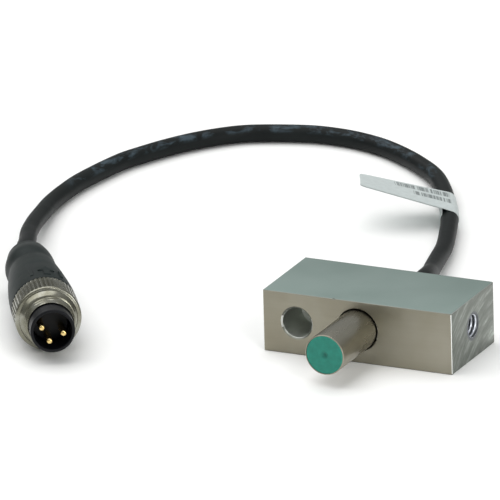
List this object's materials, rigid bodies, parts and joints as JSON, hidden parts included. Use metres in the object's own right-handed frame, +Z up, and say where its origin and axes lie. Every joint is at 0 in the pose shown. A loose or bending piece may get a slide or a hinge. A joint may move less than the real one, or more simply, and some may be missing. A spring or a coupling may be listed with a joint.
{
  "type": "proximity sensor",
  "caption": "Inductive proximity sensor with a smooth steel barrel held in a rectangular clamp block, on a short cable with a knurled round plug and a marker flag.",
  "frame": {"origin": "centre of the clamp block's bottom face, which stands on the surface that the cable and the plug lie on", "axes": "+X along the block towards its clamping screw, -Y the way the sensor looks, +Z up"},
  "size_m": [0.0918, 0.1123, 0.0106],
  "materials": {
    "block_metal": "satin, finely machined",
    "barrel_steel": "satin",
    "face_plastic": "matte, fine mould texture",
    "ferrite": "matte sintered",
    "coil_copper": "enamelled wire",
    "former_plastic": "matte",
    "board_laminate": "semi-gloss lacquer",
    "chip_epoxy": "matte",
    "capacitor_ceramic": "matte",
    "diode_glass": "glossy",
    "led_resin": "glossy",
    "end_cap_clear": "glossy, translucent",
    "grommet_rubber": "matte",
    "wire_brown": "semi-gloss",
    "wire_blue": "semi-gloss",
    "wire_black": "semi-gloss",
    "cable_jacket": "satin, rubbed on top",
    "label_tape": "matte printed tape",
    "nut_nickel": "bright nickel plate",
    "carrier_plastic": "satin moulded",
    "pin_gold": "gold plate",
    "grip_rubber": "matte moulded",
    "screw_steel": "black oxide",
    "pad_nylon": "matte"
  },
  "bodies": {
    "block": {"mounting_block": "block_metal"},
    "pad": {"pressure_pad": "pad_nylon"},
    "screw": {"set_screw": "screw_steel"},
    "sensor": {"sensor_barrel": "barrel_steel", "sensing_face_cap": "face_plastic", "ferrite_core": "ferrite", "coil_former": "former_plastic", "sense_coil": "coil_copper", "circuit_board": "board_laminate", "oscillator_chip": "chip_epoxy", "filter_capacitor": "capacitor_ceramic", "output_transistor": "chip_epoxy", "surge_diode": "diode_glass", "status_led": "led_resin", "end_cap": "end_cap_clear", "cable_grommet": "grommet_rubber", "sensor_wire_brown": "wire_brown", "sensor_wire_blue": "wire_blue", "sensor_wire_black": "wire_black", "sensor_cable": "cable_jacket", "marker_label": "label_tape", "connector_grip": "grip_rubber", "contact_carrier": "carrier_plastic", "contact_pin_1": "pin_gold", "contact_pin_3": "pin_gold", "contact_pin_4": "pin_gold", "plug_wire_brown": "wire_brown", "plug_wire_blue": "wire_blue", "plug_wire_black": "wire_black"},
    "nut": {"coupling_nut": "nut_nickel"}
  },
  "joints": [
    {"name": "sensor_slide", "type": "slide", "parent": "block", "child": "sensor", "axis": [0, -1, 0], "range_m": [-0.012, 0.005]},
    {"name": "pad_slide", "type": "slide", "parent": "block", "child": "pad", "axis": [1, 0, 0], "range_m": [0, 0.0042]},
    {"name": "screw_turn", "type": "hinge", "parent": "pad", "child": "screw", "pos_m": [0, 0, 0.0054], "axis": [1, 0, 0], "range_deg": [0, 2165]},
    {"name": "nut_spin", "type": "hinge", "parent": "sensor", "child": "nut", "pos_m": [-0.04365, -0.0258, 0.00556], "axis": [0.5208, -0.8533, 0.0262], "continuous": true}
  ],
  "couplings": [
    {"joint": "screw_turn", "follows": "pad_slide", "rad_per_m": 8976}
  ]
}
